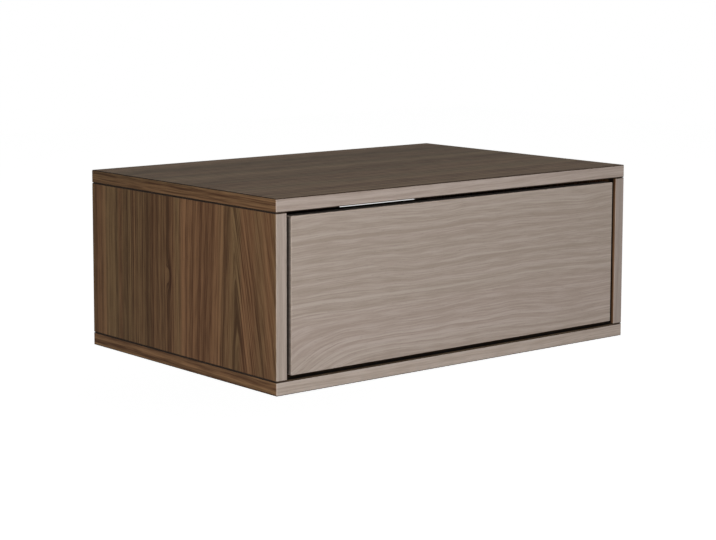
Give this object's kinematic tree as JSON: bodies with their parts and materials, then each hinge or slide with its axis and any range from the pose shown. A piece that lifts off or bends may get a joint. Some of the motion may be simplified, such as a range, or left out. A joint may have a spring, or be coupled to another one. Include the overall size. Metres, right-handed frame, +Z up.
{
  "type": "floating nightstand",
  "caption": "Wall-hung bedside cabinet in walnut decor with a flush handleless drawer on telescopic runners, opened by a push latch.",
  "frame": {"origin": "centre of the mounting rail's rear face, on the wall plane", "axes": "+X to the right seen from the front, +Y into the wall, -Y towards the room, +Z up"},
  "size_m": [0.6, 0.4, 0.236],
  "materials": {
    "walnut_board": "matt walnut decor on chipboard, eased edges",
    "drawer_board": "matt walnut decor on thin board",
    "thin_board": "matt lacquered fibreboard",
    "beech_dowel": "bare beech",
    "zinc_fitting": "zinc-plated",
    "runner_steel": "bright zinc-plated rolled steel",
    "runner_cage": "plated sheet with polished balls",
    "latch_housing": "moulded, fine grain",
    "latch_plunger": "moulded, smooth"
  },
  "bodies": {
    "case": {"top_panel": "walnut_board", "bottom_panel": "walnut_board", "left_side_panel": "walnut_board", "right_side_panel": "walnut_board", "mounting_rail": "walnut_board", "back_panel": "thin_board", "left_front_top_cam": "zinc_fitting", "left_front_top_bolt": "zinc_fitting", "left_front_bottom_cam": "zinc_fitting", "left_front_bottom_bolt": "zinc_fitting", "left_rear_top_cam": "zinc_fitting", "left_rear_top_bolt": "zinc_fitting", "left_rear_bottom_cam": "zinc_fitting", "left_rear_bottom_bolt": "zinc_fitting", "right_front_top_cam": "zinc_fitting", "right_front_top_bolt": "zinc_fitting", "right_front_bottom_cam": "zinc_fitting", "right_front_bottom_bolt": "zinc_fitting", "right_rear_top_cam": "zinc_fitting", "right_rear_top_bolt": "zinc_fitting", "right_rear_bottom_cam": "zinc_fitting", "right_rear_bottom_bolt": "zinc_fitting", "left_rail_cam": "zinc_fitting", "left_rail_bolt": "zinc_fitting", "right_rail_cam": "zinc_fitting", "right_rail_bolt": "zinc_fitting", "left_top_dowel": "beech_dowel", "left_bottom_dowel": "beech_dowel", "left_rail_dowel": "beech_dowel", "left_hanger_plate": "zinc_fitting", "left_hanger_screw_1": "zinc_fitting", "left_hanger_screw_2": "zinc_fitting", "left_runner_cabinet_member": "runner_steel", "right_top_dowel": "beech_dowel", "right_bottom_dowel": "beech_dowel", "right_rail_dowel": "beech_dowel", "right_hanger_plate": "zinc_fitting", "right_hanger_screw_1": "zinc_fitting", "right_hanger_screw_2": "zinc_fitting", "right_runner_cabinet_member": "runner_steel", "push_latch_housing": "latch_housing"},
    "drawer": {"drawer_front": "walnut_board", "drawer_left_side": "drawer_board", "drawer_right_side": "drawer_board", "drawer_box_front": "drawer_board", "drawer_box_back": "drawer_board", "drawer_bottom": "thin_board", "upper_left_front_screw": "zinc_fitting", "lower_left_front_screw": "zinc_fitting", "upper_right_front_screw": "zinc_fitting", "lower_right_front_screw": "zinc_fitting", "left_runner_drawer_member": "runner_steel", "right_runner_drawer_member": "runner_steel"},
    "left_middle_member": {"left_runner_middle_member": "runner_steel"},
    "left_outer_cage": {"left_runner_outer_ball_cage": "runner_cage"},
    "left_inner_cage": {"left_runner_inner_ball_cage": "runner_cage"},
    "right_middle_member": {"right_runner_middle_member": "runner_steel"},
    "right_outer_cage": {"right_runner_outer_ball_cage": "runner_cage"},
    "right_inner_cage": {"right_runner_inner_ball_cage": "runner_cage"},
    "latch_plunger": {"push_latch_plunger": "latch_plunger"}
  },
  "joints": [
    {"name": "drawer_slide", "type": "slide", "parent": "case", "child": "drawer", "axis": [0, -1, 0], "range_m": [0, 0.34]},
    {"name": "left_middle_member_slide", "type": "slide", "parent": "case", "child": "left_middle_member", "axis": [0, -1, 0], "range_m": [0, 0.17]},
    {"name": "left_outer_cage_slide", "type": "slide", "parent": "case", "child": "left_outer_cage", "axis": [0, -1, 0], "range_m": [0, 0.085]},
    {"name": "left_inner_cage_slide", "type": "slide", "parent": "case", "child": "left_inner_cage", "axis": [0, -1, 0], "range_m": [0, 0.255]},
    {"name": "right_middle_member_slide", "type": "slide", "parent": "case", "child": "right_middle_member", "axis": [0, -1, 0], "range_m": [0, 0.17]},
    {"name": "right_outer_cage_slide", "type": "slide", "parent": "case", "child": "right_outer_cage", "axis": [0, -1, 0], "range_m": [0, 0.085]},
    {"name": "right_inner_cage_slide", "type": "slide", "parent": "case", "child": "right_inner_cage", "axis": [0, -1, 0], "range_m": [0, 0.255]},
    {"name": "latch_plunger_press", "type": "slide", "parent": "case", "child": "latch_plunger", "axis": [0, 1, 0], "range_m": [0, 0.003], "stiffness_N_per_m": 1500}
  ],
  "couplings": [
    {"joint": "left_middle_member_slide", "follows": "drawer_slide", "ratio": 0.5},
    {"joint": "left_outer_cage_slide", "follows": "drawer_slide", "ratio": 0.25},
    {"joint": "left_inner_cage_slide", "follows": "drawer_slide", "ratio": 0.75},
    {"joint": "right_middle_member_slide", "follows": "drawer_slide", "ratio": 0.5},
    {"joint": "right_outer_cage_slide", "follows": "drawer_slide", "ratio": 0.25},
    {"joint": "right_inner_cage_slide", "follows": "drawer_slide", "ratio": 0.75}
  ]
}
